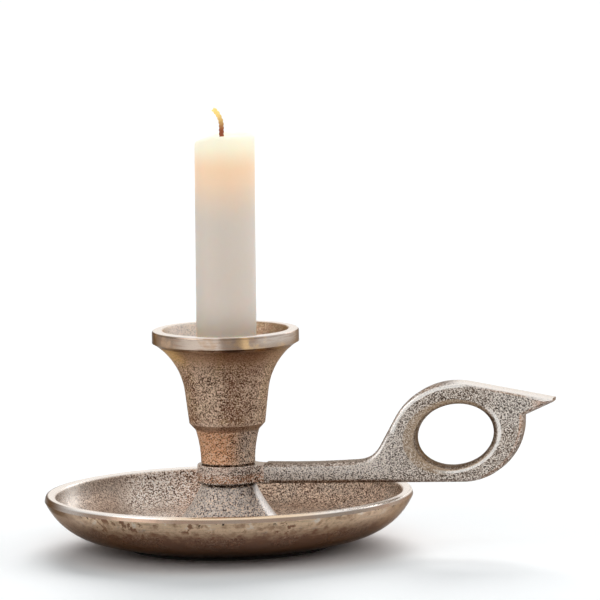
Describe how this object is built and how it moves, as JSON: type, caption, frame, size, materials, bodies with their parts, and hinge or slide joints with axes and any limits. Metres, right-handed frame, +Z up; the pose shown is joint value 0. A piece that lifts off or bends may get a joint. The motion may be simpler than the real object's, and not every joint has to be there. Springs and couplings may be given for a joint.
{
  "type": "chamberstick",
  "caption": "Cast metal chamberstick: shallow drip dish on a pedestal, flared candle cup, clamped handle with finger loop and pointed tail, and a candle that lifts out.",
  "frame": {"origin": "centre of the felt's underside, on the stem axis at table height", "axes": "+Z up along the stem, +X along the handle from the stem towards its tail"},
  "size_m": [0.1885, 0.1344, 0.1606],
  "materials": {
    "cast_metal": "pitted casting with a warm dark patina, rims and edges polished",
    "plated_steel": "zinc plated",
    "felt": "pressed felt",
    "wax": "matt ivory wax",
    "wick": "braided cotton, charred at its end"
  },
  "bodies": {
    "holder": {"drip_dish": "cast_metal", "handle": "cast_metal", "candle_cup": "cast_metal", "clamp_screw": "plated_steel", "flat_washer": "plated_steel", "spring_washer": "plated_steel", "base_felt": "felt"},
    "candle": {"candle": "wax", "wick": "wick"}
  },
  "joints": [
    {"name": "candle_lift", "type": "slide", "parent": "holder", "child": "candle", "axis": [0, 0, 1], "range_m": [0, 0.06]}
  ]
}
